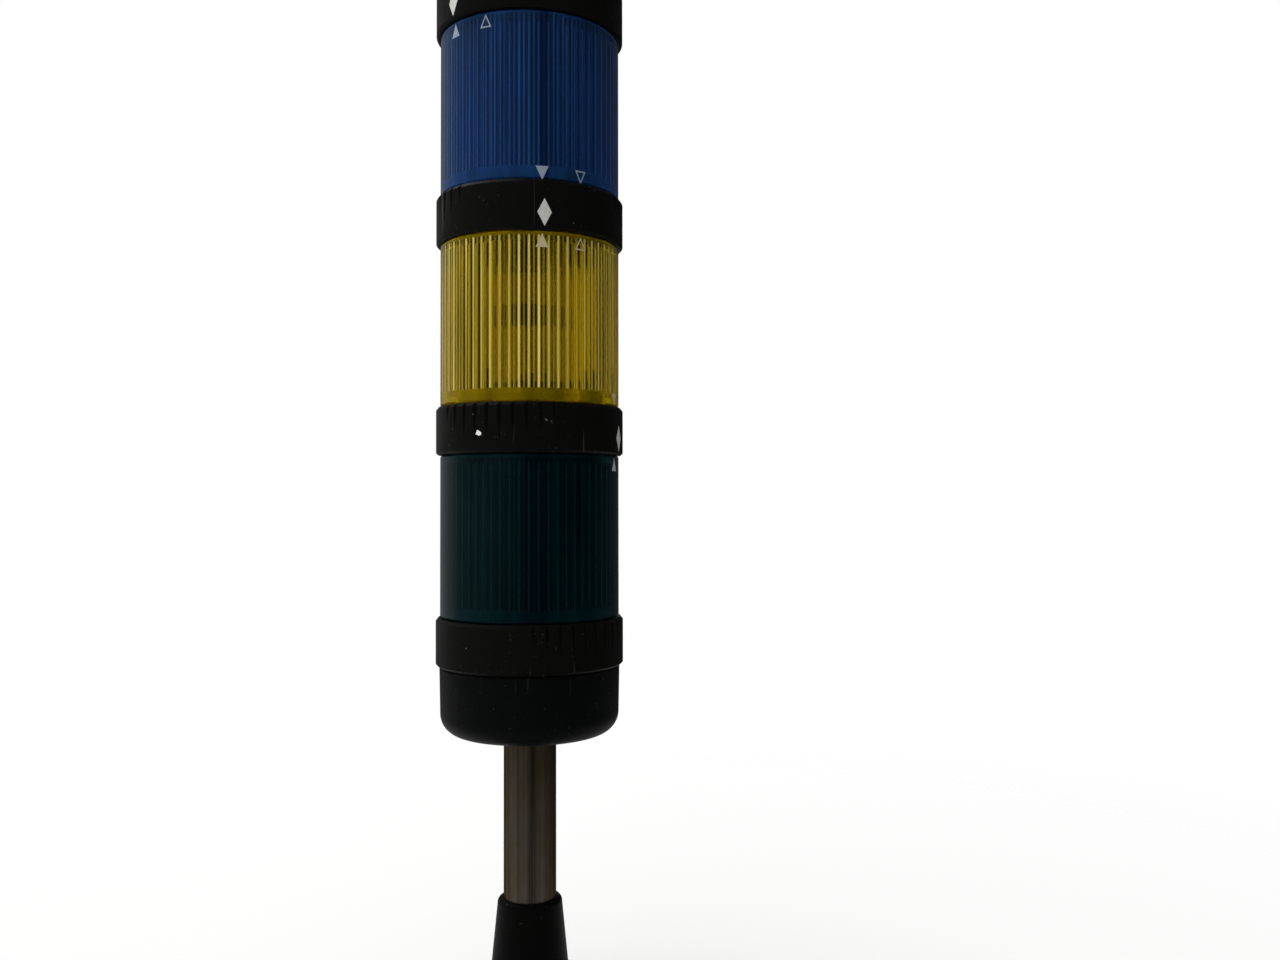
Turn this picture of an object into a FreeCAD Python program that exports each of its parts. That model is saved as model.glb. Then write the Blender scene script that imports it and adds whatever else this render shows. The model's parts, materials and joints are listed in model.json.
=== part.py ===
"""Stack light: three lamp modules on a housing, tube and foot, locked by four bayonet rings.

Millimetres, +Z up the tower's axis. The origin is the centre of the foot's underside.
Angles are in degrees about +Z from +X. Each level of the tower is turned by one coding
step from the level below it, so that every module picks up its own circuit.
"""
import FreeCAD, Part
import math
import os

os.makedirs("parts", exist_ok=True)
Vector = FreeCAD.Vector

# ---------------------------------------------------------------- driving dimensions
# levels of the tower
COLLAR_TOP_Z = 37.6           # top of the foot's collar
TUBE_SHOWN = 46.8             # free length of tube between foot and housing
HOUSING_HEIGHT = 19.6         # from the housing's underside to the lowest ring
LENS_HEIGHT = 46.0            # visible height of each lens, from ring to ring
LENS_NAMES = ("green", "yellow", "blue")
FIRST_MARK_ANGLE = 43.75      # where the lowest ring carries its index mark
LEVEL_TURN = -60.0            # coding step from one level to the next
CONTACT_COUNT = 6             # contacts on a circle, one to each coding step

# running and fitted clearances
RUN_GAP = 0.3                 # between a lock ring and what it turns on
SLIP_FIT = 0.1                # between pieces pushed into each other by hand

# lens, which every round piece of the tower follows
LENS_R = 25.5
LENS_WALL = 1.9
MOULD_EDGE = 0.35             # broken outer edges of lenses, housing and cap at the rings
FLUTE_COUNT = 60
FLUTE_DEPTH = 0.7
PLAIN_BAND = 3.8              # smooth stretch above the lower ring
PLAIN_RIM = 1.2               # smooth stretch under the upper ring

# lock ring
RING_PROUD = 1.2              # beyond the lenses
RING_HEIGHT = 13.5
RING_WALL = 1.8
LIP_DEPTH = 1.4               # how far the inner lips reach in
RING_LOWER_CHAMFER = 0.6
RING_UPPER_CHAMFER = 0.9
RING_LIP = 1.8                # height of the inner lips
LUG_COUNT = 3
LUG_ARC = 20.0                # bayonet lugs on the part below
CATCH_ARC = 24.0              # lip segments of the ring that hold the lugs
LUG_HEIGHT = 2.5
UNLOCK_TURN = 25.0            # from locked to free
STOP_ARC = 3.0                # ribs that end the ring's travel
STOP_SLACK = 0.8
GRIP_ZONES = 2                # grooved grip zones, between smooth panels
GRIP_ARC = 80.0
GRIP_GROOVES = 10             # in each zone
GROOVE_DEPTH = 0.85           # at the ring's top
GROOVE_WIDTH = 1.7            # at the ring's top
GROOVE_REACH = 11.2           # run of a groove in the middle of its zone, down from the ring's top

# necks of the modules, housing and cap, inside the rings
NECK_WALL = 2.0
NECK_RISE = 7.0               # lower part's neck above the ring's underside
SEAL_HEIGHT = 1.0
SEAL_WIDTH = 1.2
BEAD_OUT = 1.0                # snap bead that keeps a ring on the part above
BEAD_HEIGHT = 1.5
LEDGE_IN = 1.2                # inner ledge at a neck's top
LEDGE_HEIGHT = 2.0
KEY_COUNT = 3                 # coding keys of a carrier, in notches of the ledge below it
KEY_WIDTH = 3.6

# lamp carrier and contacts
CARRIER_PLATE = 3.0
CARRIER_TOP = 2.5
CARRIER_RING_WIDTH = 3.4
PILLAR_COUNT = 3
PILLAR_WIDTH = 7.0
PILLAR_DEPTH = 2.0
PILLAR_INSET = 0.5            # pillars stand in from the carrier's top ring
BLOCK_WIDTH = 9.0             # thick foot of each pillar
BLOCK_DEPTH = 4.2
BLOCK_RISE = 10.0             # above the lower ring's top
POST_R = 1.3
POST_GAP = 0.4                # between a post and the lamp holder
POST_RISE = 9.0
STRIP_WIDTH = 3.0
STRIP_THICK = 0.4
PAD_R = 1.6
PAD_THICK = 0.8

# lamp
HOLDER_R = 9.6
HOLDER_WALL = 1.6
HOLDER_OVER_PIN = 2.5         # from the lamp's pins to the holder's rim
LAMP_CAP_R = 7.5
LAMP_CAP_TOP = 36.5           # all lamp heights are above the ring's underside
LAMP_COLLAR_R = 7.9
LAMP_COLLAR_HEIGHT = 6.0
LAMP_WINDOW_R = 7.4
LAMP_WINDOW_HEIGHT = 9.0
LAMP_LID_HEIGHT = 1.5
LAMP_PIN_R = 1.0
LAMP_PIN_OUT = 0.9
LAMP_PIN_UP = 4.5             # above the lamp's own foot

# base housing
HOUSING_PROUD = 0.16          # beyond the lenses
HOUSING_DRAFT = 0.36          # how much slimmer it is at its lower edge
HOUSING_FILLET = 6.0
HOUSING_WALL = 2.3
HOUSING_FLOOR = 5.0
TUBE_SEAT_DEPTH = 2.5         # recess for the tube's shoulder in the housing's floor

# terminal block
TERMINAL_OVER_TUBE = 1.0      # room between the tube's end and the block's bridge
TERMINAL_HEIGHT = 5.0         # thickness of the bridge
TERMINAL_RIM = 1.2            # wall outside the cells
TERMINAL_CELL_DEPTH = 3.0
TERMINAL_CELL_WIDTH = 6.6
TERMINAL_PLATE = 1.0
TERMINAL_SCREW_R = 1.9
TERMINAL_SCREW_HEAD = 1.6
TERMINAL_SCREW_ROOM = 0.6     # around each screw's head
CABLE_ROOM = 1.5              # block's cable hole over the tube's bore
PIN_R = 1.2

# tube and its nut
TUBE_R = 7.5
TUBE_WALL = 1.5
THREAD_STEP = 0.5             # shoulder between the tube and its thread
THREAD_ABOVE_NUT = 1.0
NUT_WIDTH = 19.0              # across flats
NUT_HEIGHT = 4.0
WASHER_R = 11.5
WASHER_THICK = 1.0

# foot
FLANGE_R = 35.0
FLANGE_THICK = 4.75
CABLE_HOLE_MORE = 0.5         # foot's cable hole over the tube's bore
GASKET_HOLE_MORE = 2.0        # gasket's cable hole over the tube's bore
FLANGE_EDGE = 1.5
GASKET_THICK = 1.5
GASKET_INSET = 0.6
COLLAR_BASE_R = 12.15
COLLAR_TOP_R = 9.05
COLLAR_EDGE = 1.8
COLLAR_FILLET = 1.6
SOCKET_FLOOR_Z = 8.0
BOLT_EDGE = 8.0               # from the flange's rim in to the bolts' centres
BOLT_HOLE_R = 2.75
BOLT_COUNT = 3
BOLT_FIRST_ANGLE = 30.0
SPOT_FACE_R = 5.4
SPOT_FACE_DEPTH = 0.6
SET_SCREW_R = 2.0
SET_SCREW_Z = 24.0
SET_SCREW_ANGLE = 90.0
SET_SCREW_INSET = 0.3         # its outer end lies inside the collar's wall
HEX_KEY_WIDTH = 2.0
HEX_KEY_DEPTH = 1.5

# top cap
CAP_RISE = 8.2                # visible wall above the top ring
CAP_CROWN = 1.6               # how far the top bulges
CAP_WALL = 2.2
CAP_EDGE = 2.5

# ---------------------------------------------------------------- worked-out sizes
LEVELS = len(LENS_NAMES)
MODULE_PITCH = RING_HEIGHT + LENS_HEIGHT
HOUSING_BOTTOM_Z = COLLAR_TOP_Z + TUBE_SHOWN
FIRST_RING_Z = HOUSING_BOTTOM_Z + HOUSING_HEIGHT
RING_R = LENS_R + RING_PROUD
RING_INNER_R = RING_R - RING_WALL
LIP_R = RING_INNER_R - LIP_DEPTH
NECK_R = LIP_R - RUN_GAP
LUG_R = RING_INNER_R - RUN_GAP
BEAD_R = min(NECK_R + BEAD_OUT, RING_INNER_R - RUN_GAP)
NECK_INNER_R = NECK_R - NECK_WALL
CARRIER_R = NECK_INNER_R - SLIP_FIT
SEAT_RISE = NECK_RISE + SEAL_HEIGHT          # foot of the upper part, over the ring's underside
SHOULDER_RISE = RING_HEIGHT + RUN_GAP        # shoulder of the upper part
LENS_VALLEY_R = LENS_R - LENS_WALL
PILLAR_OUTER_R = CARRIER_R - PILLAR_INSET
PILLAR_INNER_R = PILLAR_OUTER_R - PILLAR_DEPTH
STRIP_R = PILLAR_INNER_R - STRIP_THICK / 2
PLATE_BOTTOM = SEAT_RISE + PAD_THICK + RUN_GAP / 3
PLATE_TOP = PLATE_BOTTOM + CARRIER_PLATE
PAD_BOTTOM = PLATE_BOTTOM - PAD_THICK
LEDGE_R = NECK_INNER_R - LEDGE_IN
LEDGE_RISE = NECK_RISE - LEDGE_HEIGHT
HOLDER_FLOOR = PLATE_TOP + HOLDER_WALL
PIN_RISE = HOLDER_FLOOR + LAMP_PIN_UP
HOLDER_TOP = PIN_RISE + HOLDER_OVER_PIN
HOUSING_TOP_R = LENS_R + HOUSING_PROUD
HOUSING_FOOT_R = HOUSING_TOP_R - HOUSING_DRAFT
TUBE_BORE_R = TUBE_R - TUBE_WALL
THREAD_R = TUBE_R - THREAD_STEP
BOLT_CIRCLE_R = FLANGE_R - BOLT_EDGE
CELL_OUTER_R = STRIP_R + PIN_R
SCREW_CIRCLE_R = STRIP_R - PIN_R - TERMINAL_SCREW_ROOM - TERMINAL_SCREW_R
CELL_INNER_R = SCREW_CIRCLE_R - TERMINAL_SCREW_R - TERMINAL_SCREW_ROOM
TERMINAL_R = CELL_OUTER_R + TERMINAL_RIM
FLANGE_TOP_Z = GASKET_THICK + FLANGE_THICK
HOUSING_FLOOR_Z = HOUSING_BOTTOM_Z + HOUSING_FLOOR
TUBE_SHOULDER_Z = HOUSING_BOTTOM_Z + TUBE_SEAT_DEPTH
WASHER_TOP_Z = HOUSING_FLOOR_Z + WASHER_THICK
NUT_TOP_Z = WASHER_TOP_Z + NUT_HEIGHT
TUBE_TOP_Z = NUT_TOP_Z + THREAD_ABOVE_NUT
BRIDGE_Z = TUBE_TOP_Z + TERMINAL_OVER_TUBE
CELL_FLOOR_Z = BRIDGE_Z + TERMINAL_HEIGHT - TERMINAL_CELL_DEPTH


# ---------------------------------------------------------------- building helpers
def ring_z(level):
    """Underside of the lock ring at a level, 0 at the bottom."""
    return FIRST_RING_Z + MODULE_PITCH * level


def mark_angle(level):
    """Angle of the index mark on the lock ring at a level."""
    return FIRST_MARK_ANGLE + LEVEL_TURN * level


def save(shape, node):
    """Write one node as a STEP file."""
    shape.exportStep("parts/%s.step" % node)


def revolved(outline):
    """Full turn about the Z axis of a closed outline of (radius, height) points."""
    points = [Vector(r, 0, z) for r, z in outline]
    wire = Part.makePolygon(points + points[:1])
    return Part.Face(wire).revolve(Vector(0, 0, 0), Vector(0, 0, 1), 360)


def disc(radius, bottom, top):
    """Solid cylinder on the axis between two heights."""
    return Part.makeCylinder(radius, top - bottom, Vector(0, 0, bottom))


def sleeve(outer, inner, bottom, top):
    """Plain ring between two radii and two heights."""
    return revolved([(inner, bottom), (outer, bottom), (outer, top), (inner, top)])


def sector(outer, inner, bottom, top, middle, arc):
    """Part of a sleeve that covers an arc about a middle angle."""
    face = Part.Face(Part.makePolygon([
        Vector(inner, 0, bottom), Vector(outer, 0, bottom),
        Vector(outer, 0, top), Vector(inner, 0, top), Vector(inner, 0, bottom)]))
    solid = face.revolve(Vector(0, 0, 0), Vector(0, 0, 1), arc)
    return turned(solid, middle - arc / 2)


def turned(shape, angle):
    """Copy of a shape turned about the tower's axis."""
    copy = shape.copy()
    copy.rotate(Vector(0, 0, 0), Vector(0, 0, 1), angle)
    return copy


def raised(shape, height):
    """Copy of a shape moved up."""
    copy = shape.copy()
    copy.translate(Vector(0, 0, height))
    return copy


def around(shape, count, first=0.0):
    """Evenly spaced copies of a shape about the axis."""
    return [turned(shape, first + 360.0 * i / count) for i in range(count)]


def radial_block(inner, outer, width, bottom, top):
    """Box that reaches out along +X from one radius to another."""
    return Part.makeBox(outer - inner, width, top - bottom, Vector(inner, -width / 2, bottom))


def on_circle(radius, angle, height=0.0):
    """Point on a circle about the axis."""
    turn = math.radians(angle)
    return Vector(radius * math.cos(turn), radius * math.sin(turn), height)


def hexagon(flats, bottom, height):
    """Hexagonal prism on the axis."""
    corner_r = flats / math.sqrt(3)
    corners = [on_circle(corner_r, 60 * i, bottom) for i in range(7)]
    return Part.Face(Part.makePolygon(corners)).extrude(Vector(0, 0, height))


def ring_edges(shape, radius, height):
    """Circular edges of a shape about the axis at a radius and height."""
    found = []
    for edge in shape.Edges:
        if edge.Degenerated or not isinstance(edge.Curve, Part.Circle):
            continue
        centre = edge.Curve.Center
        same_size = abs(edge.Curve.Radius - radius) < 1e-3
        if same_size and (centre - Vector(0, 0, height)).Length < 1e-3:
            found.append(edge)
    return found


# ---------------------------------------------------------------- lock ring
def groove_cutter(reach):
    """Wedge that is deepest at the ring's top and runs out below it."""
    over = 1.0
    outside = 1.0
    flare = GROOVE_WIDTH / 2 / GROOVE_DEPTH * (GROOVE_DEPTH + outside)
    start = RING_HEIGHT - reach
    section = Part.Face(Part.makePolygon([
        Vector(RING_R, 0, start), Vector(RING_R + GROOVE_DEPTH + outside, flare, start),
        Vector(RING_R + GROOVE_DEPTH + outside, -flare, start), Vector(RING_R, 0, start)]))
    return section.extrude(Vector(-GROOVE_DEPTH * (1 + over / reach), 0, reach + over))


def lock_ring():
    """Bayonet ring: its index mark is at angle 0 and its underside at height 0."""
    chamfer_in = RING_UPPER_CHAMFER * 0.77
    ring = revolved([
        (LIP_R, 0), (RING_R - RING_LOWER_CHAMFER, 0), (RING_R, RING_LOWER_CHAMFER),
        (RING_R, RING_HEIGHT - RING_UPPER_CHAMFER), (RING_R - chamfer_in, RING_HEIGHT),
        (LIP_R, RING_HEIGHT), (LIP_R, RING_HEIGHT - RING_LIP),
        (RING_INNER_R, RING_HEIGHT - RING_LIP), (RING_INNER_R, RING_LIP), (LIP_R, RING_LIP)])
    # the lower lip is left only at the catches, so that the lugs pass between them
    open_arc = 360.0 / LUG_COUNT - CATCH_ARC
    gap = sector(RING_INNER_R, LIP_R - 1, -1, RING_LIP + 0.01, 180.0 / LUG_COUNT, open_arc)
    ring = ring.cut(Part.makeCompound(around(gap, LUG_COUNT)))
    # a pair of ribs beside each catch ends the travel at locked and at free
    stop_bottom = RING_LIP
    stop_top = RING_LIP + RUN_GAP + LUG_HEIGHT
    closed = LUG_ARC / 2 + STOP_SLACK + STOP_ARC / 2
    opened = -closed - UNLOCK_TURN
    ribs = []
    for middle in (closed, opened):
        rib = sector(RING_INNER_R + RING_WALL / 3, LIP_R, stop_bottom, stop_top, middle, STOP_ARC)
        ribs += around(rib, LUG_COUNT)
    ring = ring.fuse(ribs)
    # grip grooves on both sides of the index mark
    cutters = []
    for i in range(GRIP_GROOVES):
        offset = GRIP_ARC / GRIP_GROOVES * (i - (GRIP_GROOVES - 1) / 2)
        reach = GROOVE_REACH * math.sqrt(1 - (2 * offset / GRIP_ARC) ** 2)
        cutters += around(groove_cutter(reach), GRIP_ZONES, 180.0 / GRIP_ZONES + offset)
    return ring.cut(Part.makeCompound(cutters)).removeSplitter()


# ---------------------------------------------------------------- necks
def lower_neck_points():
    """Outline of the foot of an upper part, from its seat past its shoulder, heights over the ring."""
    bead_top = RING_HEIGHT - RING_LIP - RUN_GAP
    bead_low = bead_top - BEAD_HEIGHT
    return [(NECK_R, SEAT_RISE), (NECK_R, bead_low), (BEAD_R, bead_low + BEAD_HEIGHT / 2),
            (BEAD_R, bead_top), (NECK_R, bead_top), (NECK_R, SHOULDER_RISE),
            (LENS_R - MOULD_EDGE, SHOULDER_RISE), (LENS_R, SHOULDER_RISE + MOULD_EDGE)]


def lugs(level):
    """Bayonet lugs on the neck that a lock ring holds."""
    bottom = RING_LIP + RUN_GAP
    lug = sector(LUG_R, NECK_R - NECK_WALL / 2, bottom, bottom + LUG_HEIGHT, 0, LUG_ARC)
    return [raised(lug, ring_z(level)) for lug in around(lug, LUG_COUNT, mark_angle(level))]


def upper_neck_points(shoulder_r, inner_r):
    """Outline of a top neck from its shoulder up and back down inside, heights over the ring."""
    return [(shoulder_r, -RUN_GAP - MOULD_EDGE), (shoulder_r - MOULD_EDGE, -RUN_GAP),
            (NECK_R, -RUN_GAP), (NECK_R, NECK_RISE), (LEDGE_R, NECK_RISE), (LEDGE_R, LEDGE_RISE),
            (NECK_INNER_R, LEDGE_RISE), (NECK_INNER_R, -RUN_GAP - NECK_WALL), (inner_r, -RUN_GAP - NECK_WALL)]


def key_notches(level):
    """Cutters for the notches in a neck's ledge, one between each two contacts."""
    low = ring_z(level) + LEDGE_RISE
    notch = radial_block(LEDGE_R - 1, NECK_INNER_R, KEY_WIDTH + 2 * SLIP_FIT, low - 1,
                         low + LEDGE_HEIGHT + 1)
    return Part.makeCompound(around(notch, CONTACT_COUNT, mark_angle(level) + 180.0 / CONTACT_COUNT))


def seal(level):
    """Flat seal between the two necks inside a lock ring."""
    low = ring_z(level) + NECK_RISE
    return sleeve(NECK_R, NECK_R - SEAL_WIDTH, low, low + SEAL_HEIGHT)


# ---------------------------------------------------------------- lamp module
def fluted_core(bottom, top):
    """Space inside the lens wall: its side is a ring of round lenslets bulging inwards."""
    crest_r = LENS_VALLEY_R - FLUTE_DEPTH
    half = 180.0 / FLUTE_COUNT
    edges = []
    for i in range(FLUTE_COUNT):
        middle = 360.0 * i / FLUTE_COUNT
        start = on_circle(LENS_VALLEY_R, middle - half, bottom)
        crest = on_circle(crest_r, middle, bottom)
        end = on_circle(LENS_VALLEY_R, middle + half, bottom)
        edges.append(Part.Arc(start, crest, end).toShape())
    return Part.Face(Part.Wire(edges)).extrude(Vector(0, 0, top - bottom))


def lens(level):
    """Coloured lens between two rings, with the lugs for the ring above."""
    low = ring_z(level)
    high = ring_z(level + 1)
    wall_low = SHOULDER_RISE + NECK_WALL
    crest_r = LENS_VALLEY_R - FLUTE_DEPTH
    foot = [(r, low + z) for r, z in lower_neck_points()]
    head = [(r, high + z) for r, z in upper_neck_points(LENS_R, crest_r)]
    inside = [(crest_r, low + wall_low), (NECK_INNER_R, low + wall_low), (NECK_INNER_R, low + SEAT_RISE)]
    body = revolved(foot + head + inside)
    band_top = low + RING_HEIGHT + PLAIN_BAND
    rim_low = high - RUN_GAP - PLAIN_RIM - NECK_WALL / 2
    core = turned(fluted_core(band_top, rim_low), mark_angle(level))
    band = disc(LENS_VALLEY_R, low + wall_low, band_top)
    body = body.cut(core).cut(band).cut(key_notches(level + 1))
    return body.fuse(lugs(level + 1)).removeSplitter()


def strip(level):
    """Contact strip up the inside of a pillar, to the pads of the level above."""
    low = ring_z(level) + PLATE_BOTTOM
    high = ring_z(level + 1) + PAD_BOTTOM
    return radial_block(PILLAR_INNER_R - STRIP_THICK, PILLAR_INNER_R, STRIP_WIDTH, low, high)


def carrier(level):
    """Plate, pillars and top ring that hold the lamp and the contact strips in a lens."""
    low = ring_z(level)
    ledge = ring_z(level + 1) + LEDGE_RISE
    plate = disc(CARRIER_R, low + PLATE_BOTTOM, low + PLATE_TOP)
    crown = sleeve(CARRIER_R, CARRIER_R - CARRIER_RING_WIDTH, ledge - CARRIER_TOP, ledge)
    pillar = radial_block(PILLAR_INNER_R, PILLAR_OUTER_R, PILLAR_WIDTH, low + PLATE_TOP - 0.5,
                          ledge - CARRIER_TOP + 0.5)
    block = radial_block(PILLAR_OUTER_R - BLOCK_DEPTH, PILLAR_OUTER_R, BLOCK_WIDTH,
                         low + PLATE_TOP - 0.5, low + RING_HEIGHT + BLOCK_RISE)
    post = Part.makeCylinder(POST_R, RING_HEIGHT + POST_RISE - PLATE_TOP + 0.5,
                             Vector(HOLDER_R + POST_GAP + POST_R, 0, low + PLATE_TOP - 0.5))
    solids = around(pillar, PILLAR_COUNT, mark_angle(level))
    solids += around(block, PILLAR_COUNT, mark_angle(level))
    solids += around(post, PILLAR_COUNT, mark_angle(level) + 180.0 / PILLAR_COUNT)
    key = radial_block(LEDGE_R + SLIP_FIT, CARRIER_R - SLIP_FIT, KEY_WIDTH,
                       low + LEDGE_RISE + SLIP_FIT, low + PLATE_BOTTOM + 0.5)
    solids += around(key, KEY_COUNT, mark_angle(level) + 180.0 / CONTACT_COUNT)
    body = plate.fuse(solids + [crown])
    slots = around(strip(level), PILLAR_COUNT, mark_angle(level))
    channel = radial_block(PILLAR_OUTER_R - BLOCK_DEPTH - 1, PILLAR_INNER_R - STRIP_THICK / 2,
                           STRIP_WIDTH, low + PLATE_TOP, low + RING_HEIGHT + BLOCK_RISE + 1)
    slots += around(channel, PILLAR_COUNT, mark_angle(level))
    return body.cut(Part.makeCompound(slots)).removeSplitter()


def contacts(level):
    """Contact strips on the pillars and the pads under the carrier's plate."""
    low = ring_z(level)
    pad = Part.makeCylinder(PAD_R, PAD_THICK, Vector(STRIP_R, 0, low + PAD_BOTTOM))
    strips = around(strip(level), PILLAR_COUNT, mark_angle(level))
    return Part.makeCompound(around(pad, CONTACT_COUNT, mark_angle(level)) + strips)


def lamp_holder(level):
    """Bayonet lamp holder standing on the carrier's plate."""
    low = ring_z(level) + PLATE_TOP
    top = ring_z(level) + HOLDER_TOP
    pin_z = ring_z(level) + PIN_RISE
    cup = disc(HOLDER_R, low, top).cut(disc(LAMP_CAP_R + SLIP_FIT, low + HOLDER_WALL, top + 1))
    slot_width = 2 * (LAMP_PIN_R + SLIP_FIT)
    slot = Part.makeBox(2 * HOLDER_R + 2, slot_width, top - pin_z + slot_width / 2 + 1,
                        Vector(-HOLDER_R - 1, -slot_width / 2, pin_z - slot_width / 2))
    return cup.cut(turned(slot, mark_angle(level) + 90))


def lamp_cap(level):
    """Plated bayonet cap of the lamp with its two pins."""
    cap = disc(LAMP_CAP_R, ring_z(level) + HOLDER_FLOOR, ring_z(level) + LAMP_CAP_TOP)
    pin_r = LAMP_CAP_R + LAMP_PIN_OUT
    pins = Part.makeCylinder(LAMP_PIN_R, 2 * pin_r, Vector(-pin_r, 0, ring_z(level) + PIN_RISE),
                             Vector(1, 0, 0))
    return cap.fuse(turned(pins, mark_angle(level) + 90)).removeSplitter()


def lamp_collar(level):
    """Dark body ring between the lamp's cap and its window."""
    low = ring_z(level) + LAMP_CAP_TOP
    return disc(LAMP_COLLAR_R, low, low + LAMP_COLLAR_HEIGHT)


def lamp_window(level):
    """Clear cylinder of the lamp, with the emitters inside it."""
    low = ring_z(level) + LAMP_CAP_TOP + LAMP_COLLAR_HEIGHT
    return disc(LAMP_WINDOW_R, low, low + LAMP_WINDOW_HEIGHT)


def lamp_lid(level):
    """Thin disc on top of the lamp."""
    low = ring_z(level) + LAMP_CAP_TOP + LAMP_COLLAR_HEIGHT + LAMP_WINDOW_HEIGHT
    return disc(LAMP_COLLAR_R, low, low + LAMP_LID_HEIGHT)


# ---------------------------------------------------------------- base housing
def base_housing():
    """Cup on the tube's top, with the neck and lugs for the lowest ring."""
    z = HOUSING_BOTTOM_Z
    inner_foot_r = HOUSING_FOOT_R - HOUSING_WALL
    ring_low = FIRST_RING_Z
    top = [(r, ring_low + h) for r, h in upper_neck_points(HOUSING_TOP_R, NECK_INNER_R)]
    cup = revolved([(THREAD_R, z), (HOUSING_FOOT_R, z)] + top[:-1]
                   + [(inner_foot_r, top[-1][1] - NECK_WALL), (inner_foot_r, HOUSING_FLOOR_Z),
                      (THREAD_R, HOUSING_FLOOR_Z)])
    cup = cup.makeFillet(HOUSING_FILLET, ring_edges(cup, HOUSING_FOOT_R, z))
    seat = disc(TUBE_R, z - 1, TUBE_SHOULDER_Z)
    return cup.cut(seat).cut(key_notches(0)).fuse(lugs(0)).removeSplitter()


def terminal_block():
    """Insulating bridge on a skirt over the tube's nut, with one open cell to each terminal."""
    top = BRIDGE_Z + TERMINAL_HEIGHT
    skirt = sleeve(TERMINAL_R, TERMINAL_R - 2 * TERMINAL_RIM, HOUSING_FLOOR_Z, BRIDGE_Z)
    bridge = sleeve(TERMINAL_R, TUBE_BORE_R + CABLE_ROOM, BRIDGE_Z, top)
    cell = radial_block(CELL_INNER_R, CELL_OUTER_R, TERMINAL_CELL_WIDTH, CELL_FLOOR_Z, top + 1)
    cells = Part.makeCompound(around(cell, CONTACT_COUNT, mark_angle(0)))
    return bridge.fuse(skirt).removeSplitter().cut(cells)


def terminal_contacts():
    """Plates in the terminal cells with pins up to the lowest module's pads."""
    plate = radial_block(CELL_INNER_R, CELL_OUTER_R, TERMINAL_CELL_WIDTH, CELL_FLOOR_Z,
                         CELL_FLOOR_Z + TERMINAL_PLATE)
    pin_top = FIRST_RING_Z + PAD_BOTTOM
    pin = Part.makeCylinder(PIN_R, pin_top - CELL_FLOOR_Z, Vector(STRIP_R, 0, CELL_FLOOR_Z))
    return Part.makeCompound(around(plate.fuse(pin).removeSplitter(), CONTACT_COUNT, mark_angle(0)))


def terminal_screws():
    """Slotted screws that clamp the wires on the terminal plates."""
    low = CELL_FLOOR_Z + TERMINAL_PLATE
    head = Part.makeCylinder(TERMINAL_SCREW_R, TERMINAL_SCREW_HEAD, Vector(SCREW_CIRCLE_R, 0, low))
    slot = radial_block(SCREW_CIRCLE_R - TERMINAL_SCREW_R - 1, SCREW_CIRCLE_R + TERMINAL_SCREW_R + 1,
                        TERMINAL_SCREW_R / 3, low + TERMINAL_SCREW_HEAD / 2, low + TERMINAL_SCREW_HEAD + 1)
    return Part.makeCompound(around(head.cut(slot), CONTACT_COUNT, mark_angle(0)))


# ---------------------------------------------------------------- tube and foot
def tube():
    """Steel tube with a turned-down threaded end in the housing's floor."""
    return revolved([(TUBE_BORE_R, SOCKET_FLOOR_Z), (TUBE_R, SOCKET_FLOOR_Z), (TUBE_R, TUBE_SHOULDER_Z),
                     (THREAD_R, TUBE_SHOULDER_Z), (THREAD_R, TUBE_TOP_Z), (TUBE_BORE_R, TUBE_TOP_Z)])


def tube_washer():
    """Washer between the nut and the housing's floor."""
    return sleeve(WASHER_R, THREAD_R, HOUSING_FLOOR_Z, WASHER_TOP_Z)


def tube_nut():
    """Hexagon nut on the tube's thread, with both corner edges turned off."""
    blank = hexagon(NUT_WIDTH, WASHER_TOP_Z, NUT_HEIGHT)
    corner_r = NUT_WIDTH / math.sqrt(3)
    bevel = corner_r - NUT_WIDTH / 2
    envelope = revolved([(0, WASHER_TOP_Z), (NUT_WIDTH / 2, WASHER_TOP_Z),
                         (corner_r, WASHER_TOP_Z + bevel * 0.6), (corner_r, NUT_TOP_Z - bevel * 0.6),
                         (NUT_WIDTH / 2, NUT_TOP_Z), (0, NUT_TOP_Z)])
    return blank.common(envelope).cut(disc(THREAD_R, WASHER_TOP_Z - 1, NUT_TOP_Z + 1))


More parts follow.
